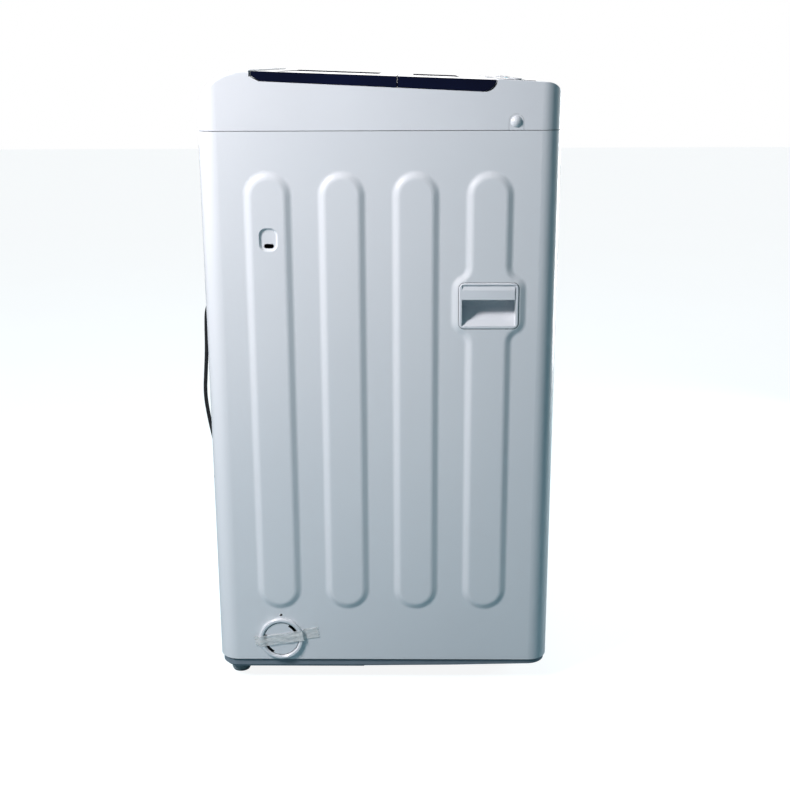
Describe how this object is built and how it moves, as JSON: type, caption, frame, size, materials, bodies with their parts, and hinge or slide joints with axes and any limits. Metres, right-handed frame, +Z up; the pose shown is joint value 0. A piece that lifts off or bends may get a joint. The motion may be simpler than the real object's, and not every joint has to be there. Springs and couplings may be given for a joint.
{
  "type": "top load washing machine",
  "caption": "Compact top-loading washer: ribbed steel cabinet, hand pockets, folding lid over a perforated spin basket, pulsator, suspended tub and belt drive.",
  "frame": {"origin": "middle of the footprint on the floor, between the feet", "axes": "+Z up, front of the machine towards -Y, its left side (seen from the front) towards -X"},
  "size_m": [0.6399, 0.5955, 0.936],
  "materials": {
    "white_steel": "satin enamel, smooth",
    "zinc_sheet": "galvanised, dull spangle",
    "zinc": "bright zinc plate",
    "grey_plastic": "fine matte moulding",
    "foot_rubber": "matte rubber",
    "white_plastic": "semi-gloss moulding",
    "navy_gloss": "high gloss",
    "tinted_window": "smoked, polished",
    "steel_pin": "ground",
    "fascia_gloss": "gloss film",
    "display_glass": "smoked",
    "circuit_board": "solder mask",
    "clear_tape": "creased film",
    "valve_plastic": "glass-filled nylon",
    "tub_plastic": "natural polypropylene",
    "black_plastic": "moulded",
    "spring_steel": "oiled wire",
    "stainless": "bright rolled",
    "cast_aluminium": "as cast",
    "ring_plastic": "satin",
    "pulsator_plastic": "satin",
    "motor_black": "satin black paint",
    "belt_rubber": "matte",
    "hose_rubber": "corrugated",
    "button_plastic": "satin silver",
    "cord_black": "satin jacket",
    "plug_black": "moulded"
  },
  "bodies": {
    "root": {"cabinet": "white_steel", "rear_panel": "zinc_sheet", "panel_screws": "zinc", "base_frame": "grey_plastic", "rear_feet": "foot_rubber", "top_cover": "white_plastic", "screw_caps": "white_plastic", "lid_hinge_pins": "steel_pin", "control_fascia": "fascia_gloss", "display_window": "display_glass", "control_board": "circuit_board", "hand_pocket_right": "white_plastic", "hand_pocket_left": "white_plastic", "drain_collar": "white_plastic", "port_tape": "clear_tape", "inlet_valve": "valve_plastic", "inlet_duct": "tub_plastic", "lid_switch": "black_plastic", "pressure_sensor": "valve_plastic", "suspension_rods": "zinc", "spring_cups": "black_plastic", "suspension_springs": "spring_steel", "corner_brackets": "zinc_sheet", "drain_hose": "hose_rubber", "power_cord": "cord_black", "cord_coil": "cord_black", "mains_plug": "plug_black", "cord_strain_relief": "plug_black"},
    "lid_rear": {"lid_rear_frame": "navy_gloss", "lid_rear_window": "tinted_window", "lid_fold_pin": "steel_pin"},
    "lid_front": {"lid_front_frame": "navy_gloss", "lid_front_window": "tinted_window"},
    "foot_left": {"foot_front_left": "foot_rubber"},
    "foot_right": {"foot_front_right": "foot_rubber"},
    "drain_cap": {"drain_cap": "white_plastic"},
    "tub": {"outer_tub": "tub_plastic", "tub_ring": "tub_plastic", "drive_bracket": "zinc_sheet", "gearbox": "cast_aluminium", "motor": "motor_black", "drive_belt": "belt_rubber", "capacitor": "cast_aluminium", "drain_valve": "valve_plastic", "drain_actuator": "black_plastic"},
    "basket": {"basket_shell": "stainless", "basket_base": "tub_plastic", "basket_hub": "cast_aluminium", "balance_ring": "ring_plastic", "lint_filter": "ring_plastic"},
    "pulsator": {"pulsator": "pulsator_plastic", "pulsator_shaft": "steel_pin", "pulsator_screw": "steel_pin"},
    "drive_pulley": {"drive_pulley": "cast_aluminium"},
    "motor_pulley": {"motor_pulley": "steel_pin"},
    "button_power": {"button_power": "button_plastic"},
    "button_program": {"button_program": "button_plastic"},
    "button_level": {"button_level": "button_plastic"},
    "button_function": {"button_function": "button_plastic"},
    "button_start": {"button_start": "button_plastic"}
  },
  "joints": [
    {"name": "lid_rear_hinge", "type": "hinge", "parent": "root", "child": "lid_rear", "pos_m": [0, 0.184, 0.9304], "axis": [-1, 0, 0], "range_deg": [0, 92]},
    {"name": "lid_fold_hinge", "type": "hinge", "parent": "lid_rear", "child": "lid_front", "pos_m": [0, -0.0254, 0.91145], "axis": [1, 0, 0], "range_deg": [0, 166]},
    {"name": "tub_suspension", "type": "slide", "parent": "root", "child": "tub", "axis": [0, 0, 1], "range_m": [-0.02, 0.008], "stiffness_N_per_m": 16000, "springref_m": 0.01157, "deforming": ["suspension_springs", "drain_hose"]},
    {"name": "basket_spin", "type": "hinge", "parent": "tub", "child": "basket", "pos_m": [0, 0.008, 0.24], "axis": [0, 0, 1], "continuous": true},
    {"name": "pulsator_spin", "type": "hinge", "parent": "tub", "child": "pulsator", "pos_m": [0, 0.008, 0.27], "axis": [0, 0, 1], "continuous": true},
    {"name": "drive_pulley_spin", "type": "hinge", "parent": "tub", "child": "drive_pulley", "pos_m": [0, 0.008, 0.127], "axis": [0, 0, 1], "continuous": true},
    {"name": "motor_spin", "type": "hinge", "parent": "tub", "child": "motor_pulley", "pos_m": [0.118, -0.062, 0.127], "axis": [0, 0, 1], "continuous": true},
    {"name": "drain_cap_turn", "type": "hinge", "parent": "root", "child": "drain_cap", "pos_m": [-0.26, 0.1585, 0.0752], "axis": [-1, 0, 0], "range_deg": [0, 45]},
    {"name": "foot_left_height", "type": "slide", "parent": "root", "child": "foot_left", "axis": [0, 0, -1], "range_m": [0, 0.012]},
    {"name": "foot_right_height", "type": "slide", "parent": "root", "child": "foot_right", "axis": [0, 0, -1], "range_m": [0, 0.012]},
    {"name": "button_power_press", "type": "slide", "parent": "root", "child": "button_power", "axis": [0, 0.0558, -0.9984], "range_m": [0, 0.001], "stiffness_N_per_m": 500, "springref_m": -0.001},
    {"name": "button_program_press", "type": "slide", "parent": "root", "child": "button_program", "axis": [0, 0.0558, -0.9984], "range_m": [0, 0.001], "stiffness_N_per_m": 500, "springref_m": -0.001},
    {"name": "button_level_press", "type": "slide", "parent": "root", "child": "button_level", "axis": [0, 0.0558, -0.9984], "range_m": [0, 0.001], "stiffness_N_per_m": 500, "springref_m": -0.001},
    {"name": "button_function_press", "type": "slide", "parent": "root", "child": "button_function", "axis": [0, 0.0558, -0.9984], "range_m": [0, 0.001], "stiffness_N_per_m": 500, "springref_m": -0.001},
    {"name": "button_start_press", "type": "slide", "parent": "root", "child": "button_start", "axis": [0, 0.0558, -0.9984], "range_m": [0, 0.001], "stiffness_N_per_m": 500, "springref_m": -0.001}
  ],
  "couplings": [
    {"joint": "lid_fold_hinge", "follows": "lid_rear_hinge", "ratio": 1.8},
    {"joint": "motor_spin", "follows": "drive_pulley_spin", "ratio": 3.93},
    {"joint": "pulsator_spin", "follows": "drive_pulley_spin", "ratio": 0.2}
  ]
}
